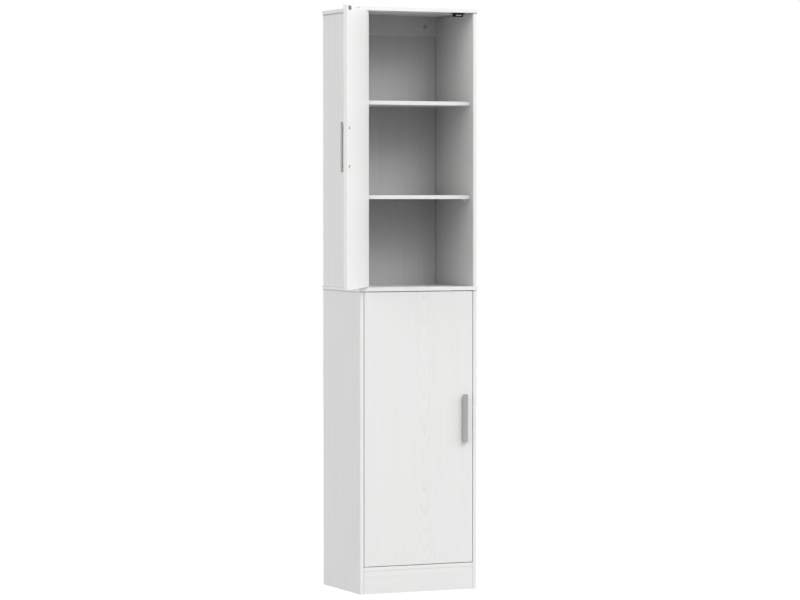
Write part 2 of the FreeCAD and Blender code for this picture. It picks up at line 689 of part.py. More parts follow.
# Wooden dowels with chamfered ends.
d1 = q(1)
dowel = turned("dowel", [(dowel_r - 0.8, dowel_r, 0, d1), (dowel_r, dowel_r, d1, dowel_len - 1),
                         (dowel_r, dowel_r - 0.8, dowel_len - 1, dowel_len)])
places = []
for s, way in sides:
    for y in dowel_up_y:
        places.append(((s * mid_x, y, top_z + shallow - 0.1 - dowel_len), turn(UP)))
        places.append(((s * mid_x, y, up_z - shallow + 0.1), turn(UP)))
    for y in dowel_lo_y:
        places.append(((s * mid_x, y, mid_z + shallow - 0.1 - dowel_len), turn(UP)))
    start = s * (inner + shallow - 0.1)
    for y in dowel_bt_y:
        places.append(((start, y, plinth_z + board / 2), turn(way)))
    for dz in (-20, 20):
        places.append(((start, board / 2, plinth_z / 2 + dz), turn(way)))
    for dz in (-16, 16):
        places.append(((start, rail_y + board / 2, top_z - rail_high / 2 + dz), turn(way)))
group("wooden_dowels", dowel, places)


# Cam bolts: threaded end in one board, ball end in the other board's cam.
def cam_bolt(name, reach):
    return turned(name, [(thread_r - 1, thread_r, -thread_len, -thread_len + 1),
                         (thread_r, thread_r, -thread_len + 1, 0),
                         (3.2, 3.2, 0, 1.5), (2.3, 2.3, 1.5, reach - 6), (1.5, 1.5, reach - 6, reach - 2.5),
                         (1.5, 2.8, reach - 2.5, reach - 1.2), (2.8, 2.8, reach - 1.2, reach + 0.8),
                         (2.8, 1.8, reach + 0.8, reach + 1.8)])


bolts, cams, rail_bolts = [], [], []
for s, way in sides:
    for y in cam_y:
        bolts.append(((s * mid_x, y, mid_z), turn(DOWN)))
        cams.append(((s * inner, y, mid_z - cam_in), turn(way, UP)))
        bolts.append(((s * inner, y, plinth_z + board / 2), turn(way)))
        cams.append(((s * (inner - cam_in), y, plinth_z), turn(DOWN, (s, 0, 0))))
    bolts.append(((s * inner, board / 2, plinth_z / 2), turn(way)))
    cams.append(((s * (inner - cam_in), board, plinth_z / 2), turn(BACK, (s, 0, 0))))
    rail_bolts.append(((s * inner, rail_y + board / 2, top_z - rail_high / 2), turn(way)))
    cams.append(((s * (inner - rail_cam), rail_y, top_z - rail_high / 2), turn(FRONT, (s, 0, 0))))
group("cam_bolts", cam_bolt("cam_bolt", cam_in), bolts)
group("rail_cam_bolts", cam_bolt("rail_cam_bolt", rail_cam), rail_bolts)

# Cam locks: round body, slot for the bolt's ball end from +X, cross recess.
cam = less("cam", turned("cam_round", [(cam_r, cam_r, -cam_t, 0)]),
           [box("cam_way", -2.6, cam_r + 1, -3.1, 3.1, -(cam_t + 1), -2.8),
            box("cam_cross_a", -3.4, 3.4, -0.7, 0.7, -1.6, 1),
            box("cam_cross_b", -0.7, 0.7, -3.4, 3.4, -1.6, 1)])
group("cam_locks", cam, cams)

# Carcass screws: countersunk, through the top and middle panels into the
# upper side panels' ends. Drawn with the head's top at Z = 0, pointing to +Z.
screw = less("carcass_screw",
             turned("carcass_screw_round", [(screw_head, screw_r, 0, 1.9), (screw_r, screw_r, 1.9, screw_len - 5),
                                            (screw_r, 0.4, screw_len - 5, screw_len)]),
             [box("screw_cross_a", -2.2, 2.2, -0.5, 0.5, -1, 1.3),
              box("screw_cross_b", -0.5, 0.5, -2.2, 2.2, -1, 1.3)])
places = []
for s, way in sides:
    for y in screw_y:
        places.append(((s * mid_x, y, top_z + board - cap_t - slack - 0.05), turn(DOWN)))
        places.append(((s * mid_x, y, mid_z + 0.05), turn(UP)))
group("carcass_screws", screw, places)

# Cover caps, flush in the top panel above its screws.
cap = turned("cap", [(cap_r, cap_r, 0, cap_t - 0.3), (cap_r, cap_r - 0.3, cap_t - 0.3, cap_t)])
group("top_screw_caps", cap, [((s * mid_x, y, top_z + board - cap_t), turn(UP)) for s, _ in sides for y in screw_y])

# Shelf pegs, half in the side panel, half under the shelf.
peg = turned("peg", [(peg_r - 0.5, peg_r, 0, 0.5), (peg_r, peg_r, 0.5, peg_len - 0.5),
                     (peg_r, peg_r - 0.5, peg_len - 0.5, peg_len)])
places = []
for s, way in sides:
    for base in (floor_z, up_z):
        for z in (shelf_a, shelf_b):
            for y in (peg_f, peg_b):
                places.append(((s * (inner + peg_len / 2), y, base + z - peg_r), turn(way)))
group("shelf_pegs", peg, places)

# Flanged bushes that the doors' pins turn in.
bush = less("bush", turned("bush_round", [(bush_r, bush_r, -bush_len, 0), (bush_fr, bush_fr, 0, bush_ft)]),
            [turned("bush_bore", [(pin_r + slack, pin_r + slack, -bush_len - 1, bush_ft + 1)])])
group("pivot_bushes", bush, [((pivot_x, pivot_y, z), turn(w)) for z, w in
                             ((top_z, DOWN), (up_z, UP), (mid_z, DOWN), (floor_z, UP))])

# Screws of the catches: pan head under the ear, pointing up into the board.
tiny = less("catch_screw",
            turned("catch_screw_round", [(2.1, 2.8, -1.8, -1.2), (2.8, 2.8, -1.2, 0), (1.4, 1.4, 0, 9), (1.4, 0.3, 9, 12)]),
            [box("tiny_cross_a", -1.7, 1.7, -0.4, 0.4, -2.5, -0.9),
             box("tiny_cross_b", -0.4, 0.4, -1.7, 1.7, -2.5, -0.9)])
group("catch_screws", tiny, [((catch_at + s * ear_x, catch_hole_y, z - ear_t), turn(UP))
                             for z in (mid_z, top_z) for s in (-1, 1)])

# ------------------------------------------------------------ check and write
doc.recompute()
for o in doc.Objects:
    bad = [x for x in o.State if x in ("Invalid", "Error")]
    if bad:
        raise RuntimeError("%s is %s" % (o.Name, bad))
for label, o in made.items():
    s = o.Shape
    if s.isNull() or not s.isValid() or not s.Solids:
        raise RuntimeError("bad shape: " + label)
for label, o in made.items():
    o.Shape.exportStep("parts/%s.step" % label)
    b = o.Shape.BoundBox
    print("%-24s %2d solid(s) %10.0f mm3  x %.1f..%.1f y %.1f..%.1f z %.1f..%.1f" % (
        label, len(o.Shape.Solids), o.Shape.Volume, b.XMin, b.XMax, b.YMin, b.YMax, b.ZMin, b.ZMax))
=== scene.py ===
import math
import random

import bpy
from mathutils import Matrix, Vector


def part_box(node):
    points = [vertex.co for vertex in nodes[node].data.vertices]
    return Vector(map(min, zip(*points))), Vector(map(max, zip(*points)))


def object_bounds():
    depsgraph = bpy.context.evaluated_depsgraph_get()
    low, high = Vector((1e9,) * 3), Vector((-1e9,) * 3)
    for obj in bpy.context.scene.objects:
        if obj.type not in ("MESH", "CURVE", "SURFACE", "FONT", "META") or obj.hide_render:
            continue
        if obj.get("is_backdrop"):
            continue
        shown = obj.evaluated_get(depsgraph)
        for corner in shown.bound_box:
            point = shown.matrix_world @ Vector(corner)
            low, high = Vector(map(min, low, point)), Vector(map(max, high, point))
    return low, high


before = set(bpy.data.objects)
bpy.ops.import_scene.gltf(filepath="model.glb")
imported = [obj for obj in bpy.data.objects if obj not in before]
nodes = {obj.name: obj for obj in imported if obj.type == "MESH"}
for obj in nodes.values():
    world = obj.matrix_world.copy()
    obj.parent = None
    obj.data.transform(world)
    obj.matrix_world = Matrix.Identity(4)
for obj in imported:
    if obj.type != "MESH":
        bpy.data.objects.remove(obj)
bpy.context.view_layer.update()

scene = bpy.context.scene

MM = 0.001
UPPER_OPEN = math.radians(123.3)
PIVOT = Vector((-0.176, 0.006, 0.0))


# ---------------------------------------------------------------- node graphs
class Graph:
    """A material's node tree, written as plain expressions. Every value is a socket or a number."""

    def __init__(self, name):
        self.material = bpy.data.materials.new(name)
        self.material.use_nodes = True
        self.tree = self.material.node_tree
        self.tree.nodes.clear()
        self.out = self.tree.nodes.new("ShaderNodeOutputMaterial")
        self.shader = self.tree.nodes.new("ShaderNodeBsdfPrincipled")
        self.tree.links.new(self.shader.outputs[0], self.out.inputs[0])

    def node(self, kind, **settings):
        n = self.tree.nodes.new(kind)
        for k, v in settings.items():
            setattr(n, k, v)
        return n

    def put(self, socket, value):
        if isinstance(value, bpy.types.NodeSocket):
            self.tree.links.new(value, socket)
        else:
            socket.default_value = value

    def math(self, op, a, b=0.0, c=0.0, clamp=False):
        n = self.node("ShaderNodeMath", operation=op, use_clamp=clamp)
        self.put(n.inputs[0], a)
        self.put(n.inputs[1], b)
        self.put(n.inputs[2], c)
        return n.outputs[0]

    def add(self, a, b):
        return self.math("ADD", a, b)

    def sub(self, a, b):
        return self.math("SUBTRACT", a, b)

    def mul(self, a, b):
        return self.math("MULTIPLY", a, b)

    def least(self, *values):
        found = values[0]
        for v in values[1:]:
            found = self.math("MINIMUM", found, v)
        return found

    def most(self, *values):
        found = values[0]
        for v in values[1:]:
            found = self.math("MAXIMUM", found, v)
        return found

    def ramp(self, value, lo, hi, a=0.0, b=1.0, smooth=True):
        n = self.node("ShaderNodeMapRange", interpolation_type="SMOOTHSTEP" if smooth else "LINEAR", clamp=True)
        self.put(n.inputs["Value"], value)
        self.put(n.inputs["From Min"], lo)
        self.put(n.inputs["From Max"], hi)
        self.put(n.inputs["To Min"], a)
        self.put(n.inputs["To Max"], b)
        return n.outputs[0]

    def vec(self, x, y, z):
        n = self.node("ShaderNodeCombineXYZ")
        for i, v in enumerate((x, y, z)):
            self.put(n.inputs[i], v)
        return n.outputs[0]

    def axes(self, v):
        n = self.node("ShaderNodeSeparateXYZ")
        self.put(n.inputs[0], v)
        return n.outputs

    def place(self):
        return self.node("ShaderNodeTexCoord").outputs["Object"]

    def turned(self, v, centre, angle):
        n = self.node("ShaderNodeVectorRotate", rotation_type="Z_AXIS")
        self.put(n.inputs["Vector"], v)
        self.put(n.inputs["Center"], centre)
        self.put(n.inputs["Angle"], angle)
        return n.outputs[0]

    def noise(self, v, scale=1.0, detail=2.0, rough=0.5, distortion=0.0):
        n = self.node("ShaderNodeTexNoise", noise_dimensions="3D")
        self.put(n.inputs["Vector"], v)
        self.put(n.inputs["Scale"], scale)
        self.put(n.inputs["Detail"], detail)
        self.put(n.inputs["Roughness"], rough)
        self.put(n.inputs["Distortion"], distortion)
        return n.outputs[0]

    def cells(self, v, scale, feature="F1"):
        n = self.node("ShaderNodeTexVoronoi", feature=feature)
        self.put(n.inputs["Vector"], v)
        self.put(n.inputs["Scale"], scale)
        return n.outputs["Distance"]

    def tone(self, t, a, b):
        """A colour between a and b."""
        n = self.node("ShaderNodeMix", data_type="RGBA")
        self.put(n.inputs["Factor"], t)
        self.put(n.inputs[6], (*a, 1.0) if isinstance(a, (tuple, list)) else a)
        self.put(n.inputs[7], (*b, 1.0) if isinstance(b, (tuple, list)) else b)
        return n.outputs[2]

    def scaled(self, colour, by):
        n = self.node("ShaderNodeVectorMath", operation="SCALE")
        self.put(n.inputs[0], colour)
        self.put(n.inputs["Scale"], by)
        return n.outputs[0]

    def bump(self, height, strength=1.0, under=None):
        """height is in metres."""
        n = self.node("ShaderNodeBump")
        n.inputs["Distance"].default_value = 1.0
        n.inputs["Strength"].default_value = strength
        self.put(n.inputs["Height"], height)
        if under is not None:
            self.put(n.inputs["Normal"], under)
        return n.outputs[0]

    def finish(self, colour, rough, normal=None, metal=0.0, spec=0.5, **fixed):
        s = self.shader.inputs
        self.put(s["Base Color"], colour)
        self.put(s["Roughness"], rough)
        s["Metallic"].default_value = metal
        s["Specular IOR Level"].default_value = spec
        if normal is not None:
            self.put(s["Normal"], normal)
        for k, v in fixed.items():
            s[k.replace("_", " ")].default_value = v
        return self.material


def wear_and_highlight_distance(g, lo, hi, axes, width):
    """The second smallest distance to a box's faces, which falls to 0 at its arrises, and the distances to each pair of
    faces. width is not used.
    """
    d = []
    for i in range(3):
        d.append(g.least(g.math("ABSOLUTE", g.sub(axes[i], lo[i])), g.math("ABSOLUTE", g.sub(axes[i], hi[i]))))
    low = g.least(*d)
    high = g.most(*d)
    total = g.add(g.add(d[0], d[1]), d[2])
    middle = g.sub(g.sub(total, low), high)
    return middle, d


def board(name, lo, hi, grain, seed, figure=None, turn=None, joints=(), edge_foil_and_painted_light=0.014):
    """White foil on board, embossed with fine wood grain along one axis. figure is (across, depth, slope): a flat-sawn
    heart whose nested points hang down the board. The lines of painted shade where boards meet, in corners and under
    laps, partly a real dark hairline at butt joints, are each (axis, place, width, depth, (axis, from, to) or None)."""
    g = Graph("foil_" + name)
    p = g.place()
    if turn is not None:
        p = g.turned(p, turn[0], turn[1])
    ax = g.axes(p)
    i = "XYZ".index(grain)
    along = ax[i]
    thick = min(range(3), key=lambda k: hi[k] - lo[k])
    across = ax[[k for k in range(3) if k not in (i, thick)][0]]
    deep = ax[thick]
    rnd = random.Random(seed)
    shift = [rnd.uniform(-5, 5) for _ in range(3)]

    def grainy(sa, sx, sd, k):
        """Coordinates that are long along the grain."""
        return g.vec(g.add(g.mul(along, sa), shift[0] + k), g.add(g.mul(across, sx), shift[1] - k), g.add(g.mul(deep, sd), shift[2] + 2 * k))

    # slow wander of the fibres
    sway = g.sub(g.noise(grainy(1.6, 7, 7, 1.3), 1.0, 1.0), 0.5)
    wave = g.sub(g.noise(grainy(7, 60, 60, 2.7), 1.0, 1.0), 0.5)
    if figure is None:
        heart, depth0, slope, spacing = (rnd.uniform(0.12, 0.3) * rnd.choice((-1, 1))), 0.10, 0.02, 0.0052
    else:
        heart, depth0, slope, spacing = figure
    mid = (lo[[k for k in range(3) if k not in (i, thick)][0]] + hi[[k for k in range(3) if k not in (i, thick)][0]]) / 2
    off = g.add(g.sub(across, (mid + heart) if figure is None else heart), g.add(g.mul(sway, 0.026), g.mul(wave, 0.0026)))
    dist = g.sub(g.add(depth0, g.mul(sway, 0.020)), g.mul(g.sub(along, lo[i]), slope))
    point = g.mul(g.math("SQRT", g.add(g.mul(off, off), 0.000002)), 0.012)
    radius = g.math("SQRT", g.add(g.add(g.mul(off, off), point), g.mul(dist, dist)))
    uneven = g.sub(g.noise(g.vec(g.mul(radius, 95.0), shift[1], shift[2]), 1.0, 1.0), 0.5)
    phase = g.add(g.mul(radius, 1.0 / spacing), g.add(g.mul(wave, 0.60), g.mul(uneven, 1.5)))
    saw = g.math("FRACT", phase)
    # early wood fades slowly into a late-wood line that ends sharply, with a fine raised lip beyond it, which is also
    # drawn lighter as a painted highlight
    line = g.mul(g.ramp(saw, 0.36, 0.80), g.ramp(saw, 0.84, 0.92, 1.0, 0.0))
    lip_and_highlight = g.add(g.mul(g.ramp(saw, 0.90, 0.95), g.ramp(saw, 0.97, 1.0, 1.0, 0.35)), g.ramp(saw, 0.0, 0.16, 0.35, 0.0))
    # a second, fainter line inside each ring
    twin = g.mul(g.ramp(saw, 0.16, 0.24), g.ramp(saw, 0.25, 0.33, 1.0, 0.0))
    patch = g.ramp(g.noise(grainy(9, 40, 40, 4.1), 1.0, 2.0), 0.34, 0.62)
    line = g.mul(line, g.add(0.40, g.mul(patch, 0.60)))
    lip_and_highlight = g.mul(lip_and_highlight, g.add(0.40, g.mul(patch, 0.60)))
    # away from the heart the rings stand on edge and leave only fine straight lines
    flat = g.ramp(g.math("ABSOLUTE", off), 0.022, 0.085, 1.0, 0.38)
    line = g.mul(line, flat)
    lip_and_highlight = g.mul(lip_and_highlight, flat)
    twin = g.mul(twin, g.mul(flat, patch))

    # pores: short fine dashes, thicker in the late wood
    pores = g.noise(grainy(38, 1450, 1450, 5.9), 1.0, 2.0, 0.55)
    cut = g.add(0.64, g.mul(line, -0.09))
    pore = g.ramp(g.sub(pores, cut), 0.0, 0.07)
    fibres = g.noise(grainy(11, 420, 420, 8.3), 1.0, 3.0, 0.6)
    streaks = g.noise(grainy(2.6, 230, 230, 6.6), 1.0, 2.0, 0.5)
    bands = g.noise(grainy(1.6, 90, 90, 9.7), 1.0, 2.0, 0.5)
    cloud = g.noise(grainy(2.0, 5, 5, 12.1), 1.0, 2.0)

    middle, d = wear_and_highlight_distance(g, lo, hi, ax, 0.001)
    arris = g.ramp(middle, 0.0003, 0.0016, 1.0, 0.0)
    seam = g.mul(g.ramp(g.math("ABSOLUTE", g.sub(middle, 0.0010)), 0.00006, 0.00016, 1.0, 0.0), 1.0)
    rub = g.mul(arris, g.ramp(g.noise(g.vec(g.mul(along, 55), g.mul(across, 55), g.mul(deep, 55)), 1.0, 3.0, 0.6), 0.42, 0.7))

    # the edges carry a strip of foil of their own; its tone, set board by board a little brighter or darker than the
    # faces, is partly the foil's own and partly painted light and shade
    edge = g.ramp(g.least(*[d[k] for k in range(3) if k != thick]), 0.00004, 0.00012, 1.0, 0.0)
    value = g.add(1.0, g.mul(g.sub(bands, 0.5), 0.085 if figure is None else 0.040))
    value = g.add(value, g.mul(g.sub(streaks, 0.5), 0.085 if figure is None else 0.062))
    value = g.add(value, g.mul(g.sub(fibres, 0.5), 0.026))
    value = g.add(value, g.mul(g.sub(cloud, 0.5), 0.008))
    value = g.sub(value, g.mul(line, 0.026 if figure is None else 0.038))
    # painted highlight: the raised lip beyond each line is drawn lighter, as if it caught the light
    value = g.add(value, g.mul(lip_and_highlight, 0.018 if figure is None else 0.026))
    value = g.sub(value, g.mul(twin, 0.014))
    value = g.sub(value, g.mul(pore, 0.035))
    value = g.add(value, g.mul(edge, edge_foil_and_painted_light))
    # painted highlight: every arris is drawn a little lighter
    value = g.add(value, g.mul(arris, 0.012))
    value = g.sub(value, g.mul(seam, 0.050))
    value = g.sub(value, g.mul(rub, 0.012))
    # painted shade: darker lines where boards meet, in corners and under laps; at butt joints partly a real dark
    # hairline
    for axis, at, width, depth, limit in joints:
        joint_shade_mask = g.ramp(g.math("ABSOLUTE", g.sub(ax[axis], at)), width * 0.3, width, 1.0, 0.0)
        if limit is not None:
            other, a, b = limit
            joint_shade_mask = g.mul(joint_shade_mask, g.mul(g.math("GREATER_THAN", ax[other], a), g.math("LESS_THAN", ax[other], b)))
        value = g.sub(value, g.mul(joint_shade_mask, depth))
    warm = g.tone(g.noise(grainy(1.2, 9, 9, 15.0), 1.0, 1.0), (0.864, 0.866, 0.861), (0.872, 0.871, 0.862))
    colour = g.scaled(warm, value)

    rough = g.add(0.40, g.mul(g.sub(fibres, 0.5), 0.16))
    rough = g.add(rough, g.mul(pore, 0.18))
    rough = g.add(rough, g.mul(line, 0.06))
    rough = g.sub(rough, g.mul(rub, 0.10))

    height = g.mul(pore, -0.00005)
    height = g.add(height, g.mul(fibres, 0.000035))
    height = g.add(height, g.mul(line, -0.00006))
    height = g.add(height, g.mul(lip_and_highlight, 0.00005))
    height = g.add(height, g.mul(streaks, 0.00006))
    height = g.sub(height, g.mul(seam, 0.00004))
    return g.finish(colour, rough, g.bump(height, 0.8), spec=0.42)


# ------------------------------------------------------------ the boards' foil
def span(name):
    lo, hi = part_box(name)
    return tuple(lo), tuple(hi)


def dress(name, material):
    """Gives every face of a node one material."""
    mesh = nodes[name].data
    mesh.materials.clear()
    mesh.materials.append(material)


BOARDS = {
    "top_panel": "X", "mid_panel": "X", "bottom_panel": "X", "plinth": "X", "upper_back_rail": "X",
    "lower_shelf_low": "X", "lower_shelf_high": "X", "upper_shelf_low": "X", "upper_shelf_high": "X",
    "lower_side_left": "Z", "lower_side_right": "Z", "upper_side_left": "Z", "upper_side_right": "Z",
}
X, Y, Z = 0, 1, 2
# painted shade, board by board: at the front ends of plinth and bottom panel and along their joint (partly a real dark
# hairline), at the mid panel's ends, along the rail, and on the side panels beside the plinth, in the corner against
# the back, at the mid panel, under the top panel's overhang and faintly along the rear edge
END_JOINT_SHADE = [(X, -0.188, 0.0010, 0.42, (Y, -1, 0.0015)), (X, 0.188, 0.0010, 0.42, (Y, -1, 0.0015))]
JOINT_SHADE = {
    "plinth": END_JOINT_SHADE + [(Z, 0.072, 0.0010, 0.20, (Y, -1, 0.0015))],
    "bottom_panel": END_JOINT_SHADE + [(Z, 0.072, 0.0010, 0.20, (Y, -1, 0.0015))],
    "mid_panel": [(Z, z, 0.0011, 0.34, (X, a, b)) for z in (0.944, 0.956) for a, b in ((-1, -0.1985), (0.1985, 1))],
}
JOINT_SHADE["upper_back_rail"] = [(X, -0.188, 0.0035, 0.26, None), (X, 0.188, 0.0035, 0.26, None), (Z, 1.756, 0.0020, 0.22, None)]
for side, x in (("left", -0.188), ("right", 0.188)):
    inner = (X, -0.1885, 1) if x < 0 else (X, -1, 0.1885)
    JOINT_SHADE["lower_side_" + side] = [(Y, 0.2855, 0.0050, 0.30, inner), (X, x, 0.0010, 0.42, (Z, -1, 0.0845)), (Z, 0.944, 0.0016, 0.34, None), (Y, 0.300, 0.0030, 0.03, None)]
    JOINT_SHADE["upper_side_" + side] = [(Y, 0.2855, 0.0050, 0.30, inner), (Z, 0.956, 0.0016, 0.34, None), (Z, 1.820, 0.0050, 0.36, None), (Y, 0.300, 0.0030, 0.03, None)]
for k, (name, grain) in enumerate(BOARDS.items()):
    lo, hi = span(name)
    # edge strips drawn lighter on every board, most on the mid panel: partly the foil's own tone, partly painted light
    dress(name, board(name, lo, hi, grain, 11 + k, joints=JOINT_SHADE.get(name, ()), edge_foil_and_painted_light=0.050 if name == "mid_panel" else 0.024))

# the doors: the figure runs down the middle of each
DOOR_LO, DOOR_HI = (-0.186, 0.0, 0.086), (0.186, 0.012, 0.944)
# the door edges are drawn darker: partly the foil's own tone, partly painted shade
dress("lower_door", board("lower_door", DOOR_LO, DOOR_HI, "Z", 41, figure=(0.020, 0.128, 0.0575, 0.0042), edge_foil_and_painted_light=-0.045))
UP_LO, UP_HI = (-0.186, 0.0, 0.960), (0.186, 0.012, 1.818)
dress("upper_door", board("upper_door", UP_LO, UP_HI, "Z", 57, figure=(-0.012, 0.124, 0.0560, 0.0041), turn=(PIVOT, UPPER_OPEN), edge_foil_and_painted_light=-0.040))


def hardboard(name, seed):
    g = Graph("hardboard_" + name)
    ax = g.axes(g.place())
    long = g.vec(g.add(g.mul(ax[0], 320), seed), g.mul(ax[1], 320), g.mul(ax[2], 9))
    grain = g.noise(long, 1.0, 3.0, 0.6)
    bands = g.noise(g.vec(g.add(g.mul(ax[0], 45), seed), ax[1], g.mul(ax[2], 1.7)), 1.0, 2.0)
    peel = g.noise(g.vec(ax[0], ax[1], ax[2]), 900.0, 2.0)
    streaks = g.noise(g.vec(g.add(g.mul(ax[0], 170), seed), ax[1], g.mul(ax[2], 2.4)), 1.0, 2.0)
    value = g.add(1.0, g.add(g.mul(g.sub(grain, 0.5), 0.045), g.add(g.mul(g.sub(streaks, 0.5), 0.10), g.mul(g.sub(bands, 0.5), 0.08))))
    # painted shade: darker along each side, in the corner where the back meets the side walls in their grooves
    value = g.sub(value, g.ramp(g.math("ABSOLUTE", ax[0]), 0.1845, 0.1880, 0.0, 0.26))
    # the rear face is bare fibre board, the front face is lacquered
    rear = g.ramp(ax[1], 0.2884, 0.2888, 0.0, 1.0, smooth=False)
    flecks = g.ramp(g.noise(g.vec(g.mul(ax[0], 260), ax[1], g.mul(ax[2], 420)), 1.0, 4.0, 0.7), 0.45, 0.68)
    bare = g.tone(flecks, (0.335, 0.225, 0.135), (0.235, 0.150, 0.088))
    # the lacquered front is grey rather than white: partly the board's own tone, partly painted shade that keeps the
    # inside of the cabinet dark
    white = g.scaled(g.tone(0.0, (0.735, 0.735, 0.732), (0.745, 0.745, 0.742)), value)
    colour = g.tone(rear, white, bare)
    rough = g.add(0.42, g.add(g.mul(g.sub(grain, 0.5), 0.12), g.mul(rear, 0.36)))
    height = g.add(g.mul(grain, 0.00003), g.add(g.mul(peel, 0.00001), g.mul(g.mul(flecks, rear), 0.00012)))
    return g.finish(colour, rough, g.bump(height, 0.8), spec=0.4)


dress("upper_back_panel", hardboard("upper", 3.1))
dress("lower_back_panel", hardboard("lower", 7.7))


# -------------------------------------------------------------------- hardware
def metal(name, colour, dark, rough, brush=None, dents=0.0, blotch=0.0, tint=None):
    g = Graph(name)
    p = g.place()
    ax = g.axes(p)
    if brush is None:
        lines = g.noise(p, 900.0, 3.0, 0.6)
    else:
        lines = g.noise(g.vec(*[g.mul(ax[k], brush[k]) for k in range(3)]), 1.0, 3.0, 0.62)
    stain = g.noise(p, 160.0, 3.0, 0.6)
    colour = g.tone(g.ramp(lines, 0.25, 0.75), dark, colour)
    if tint is not None:
        colour = g.tone(g.mul(g.ramp(stain, 0.40, 0.72), blotch), colour, tint)
    r = g.add(rough, g.add(g.mul(g.sub(lines, 0.5), 0.18), g.mul(g.sub(stain, 0.5), 0.12)))
    height = g.mul(lines, 0.000012)
    if dents:
        height = g.add(height, g.mul(g.noise(p, 420.0, 3.0, 0.65), dents))
    return g.finish(colour, r, g.bump(height, 0.7), metal=1.0)


pull = metal("satin_nickel", (0.490, 0.487, 0.477), (0.400, 0.397, 0.387), 0.40, brush=(2600, 2600, 24), tint=(0.345, 0.34, 0.325), blotch=0.25)
for name in ("upper_door_pull", "lower_door_pull"):
    dress(name, pull)

zinc = metal("bright_zinc", (0.70, 0.71, 0.73), (0.52, 0.53, 0.55), 0.30, dents=0.00002, tint=(0.62, 0.60, 0.50), blotch=0.35)
dull = metal("dull_zinc", (0.44, 0.445, 0.45), (0.31, 0.315, 0.32), 0.34, dents=0.00002, tint=(0.36, 0.35, 0.31), blotch=0.35)
for name in ("upper_pull_screws", "lower_pull_screws", "upper_strike_screw", "lower_strike_screw"):
    dress(name, dull)
for name in ("carcass_screws", "catch_screws",
             "upper_pivot_pins", "lower_pivot_pins", "cam_bolts", "rail_cam_bolts"):
    dress(name, zinc)

dress("shelf_pegs", metal("pale_zinc", (0.93, 0.93, 0.94), (0.80, 0.80, 0.81), 0.45, dents=0.00002, tint=(0.75, 0.74, 0.70), blotch=0.3))
dress("cam_locks", metal("cast_zinc", (0.56, 0.56, 0.57), (0.42, 0.42, 0.43), 0.42, dents=0.00006, tint=(0.36, 0.36, 0.37), blotch=0.5))
plate = metal("plate_steel", (0.60, 0.60, 0.60), (0.50, 0.50, 0.50), 0.32, brush=(40, 40, 2400), dents=0.00001, tint=(0.45, 0.44, 0.42), blotch=0.3)
dress("catch_pole_plates", plate)
dark = metal("dark_steel", (0.150, 0.150, 0.154), (0.095, 0.095, 0.098), 0.44, brush=(40, 40, 2400), dents=0.00001, tint=(0.18, 0.165, 0.145), blotch=0.35)
for name in ("upper_strike_plate", "lower_strike_plate"):
    dress(name, dark)


def plastic(name, colour, pale, rough, scale, depth, coat=0.0, spec=0.5):
    g = Graph(name)
    p = g.place()
    fine = g.noise(p, scale, 3.0, 0.6)
    slow = g.noise(p, 70.0, 2.0)
    tone = g.tone(g.add(g.mul(fine, 0.5), g.mul(slow, 0.5)), colour, pale)
    r = g.add(rough, g.add(g.mul(g.sub(fine, 0.5), 0.15), g.mul(g.sub(slow, 0.5), 0.10)))
    return g.finish(tone, r, g.bump(g.mul(fine, depth), 0.8), spec=spec, Coat_Weight=coat)


black = plastic("black_moulding", (0.004, 0.004, 0.004), (0.010, 0.010, 0.011), 0.52, 1400.0, 0.00004, spec=0.18)
for name in ("upper_catch_housing", "lower_catch_housing"):
    dress(name, black)
dress("catch_magnets", metal("magnet_nickel", (0.95, 0.94, 0.91), (0.86, 0.85, 0.82), 0.30, dents=0.00002, tint=(0.78, 0.76, 0.71), blotch=0.3))
dress("top_screw_caps", plastic("white_cap", (0.83, 0.83, 0.82), (0.88, 0.88, 0.87), 0.38, 900.0, 0.00002))
dress("pivot_bushes", plastic("nylon", (0.74, 0.73, 0.69), (0.84, 0.83, 0.80), 0.50, 700.0, 0.00003))


def beech():
    g = Graph("beech")
    ax = g.axes(g.place())
    fibre = g.noise(g.vec(g.mul(ax[0], 90), g.mul(ax[1], 1500), g.mul(ax[2], 1500)), 1.0, 3.0, 0.6)
    fleck = g.ramp(g.noise(g.vec(g.mul(ax[0], 500), g.mul(ax[1], 1400), g.mul(ax[2], 1400)), 1.0, 2.0), 0.58, 0.68)
    colour = g.tone(fibre, (0.52, 0.34, 0.19), (0.70, 0.52, 0.33))
    colour = g.tone(g.mul(fleck, 0.6), colour, (0.38, 0.23, 0.12))
    return g.finish(colour, g.add(0.58, g.mul(fibre, 0.15)), g.bump(g.mul(fibre, 0.00008), 0.8))


dress("wooden_dowels", beech())


# ------------------------------------------------------------- camera and light
camera = bpy.data.objects.new("camera", bpy.data.cameras.new("camera"))
scene.collection.objects.link(camera)
camera.location = (-4.2044, -9.3826, 1.2521)
turn_, dip = math.radians(23.808), math.radians(-1.863)
look = Vector((math.sin(turn_) * math.cos(dip), math.cos(turn_) * math.cos(dip), math.sin(dip)))
camera.rotation_mode = "QUATERNION"
camera.rotation_quaternion = look.to_track_quat("-Z", "Y")
camera.data.sensor_fit = "HORIZONTAL"
camera.data.sensor_width = 36.0
camera.data.lens = 147.608
camera.data.clip_start, camera.data.clip_end = 0.05, 100.0
scene.camera = camera

scene.view_settings.view_transform = "Standard"
scene.view_settings.look = "None"
scene.view_settings.exposure = 0.0
scene.view_settings.gamma = 1.0

# the studio: white to the camera, with broad soft panels around the object
world = bpy.data.worlds.new("studio")
scene.world = world
world.use_nodes = True
wt = world.node_tree
wt.nodes.clear()


def wnode(kind, **settings):
    n = wt.nodes.new(kind)
    for k, v in settings.items():
        setattr(n, k, v)
    return n


